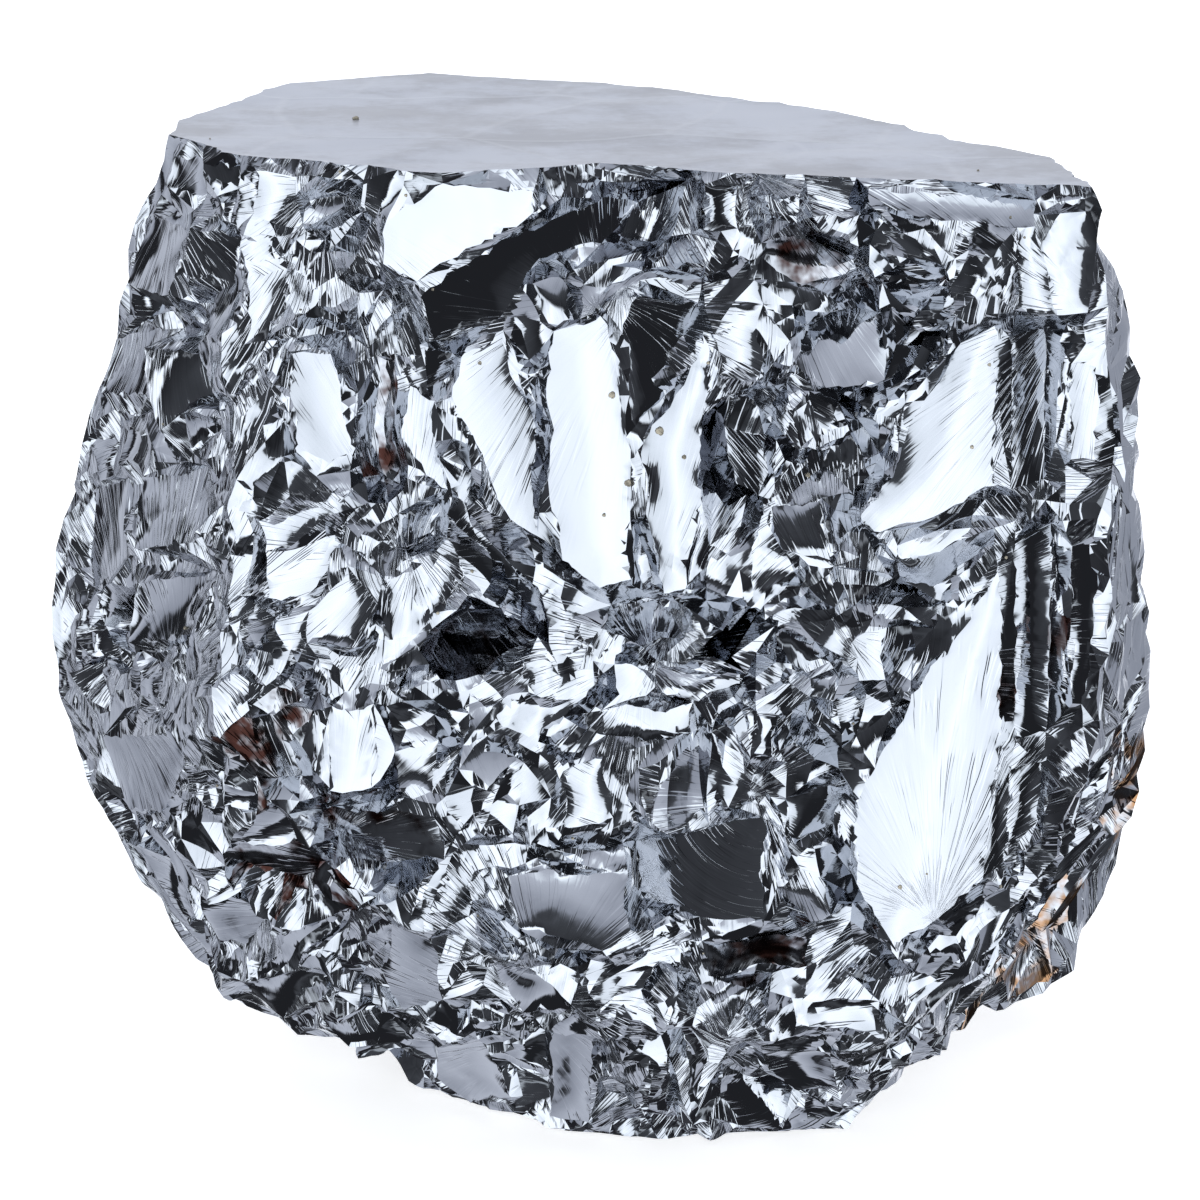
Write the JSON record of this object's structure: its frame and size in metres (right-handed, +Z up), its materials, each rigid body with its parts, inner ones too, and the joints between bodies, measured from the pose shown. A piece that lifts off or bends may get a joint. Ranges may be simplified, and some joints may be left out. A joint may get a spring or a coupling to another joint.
{
  "type": "raw silicon crystal",
  "caption": "Broken lump of raw silicon with mirror-bright flat facets, ledges and shell-shaped hollows under one satin flat top face.",
  "frame": {"origin": "bottom centre of the lump's box, on the surface that it rests on", "axes": "+X to the right across the broken front, +Y from the broken front to the back, +Z up through the flat top face"},
  "size_m": [0.0602, 0.0442, 0.0521],
  "materials": {
    "silicon": "bright cleaved silicon: mirror-like facets with fine ribs, a satin top face and a few brown stains"
  },
  "bodies": {
    "root": {"silicon_crystal": "silicon"}
  },
  "joints": []
}
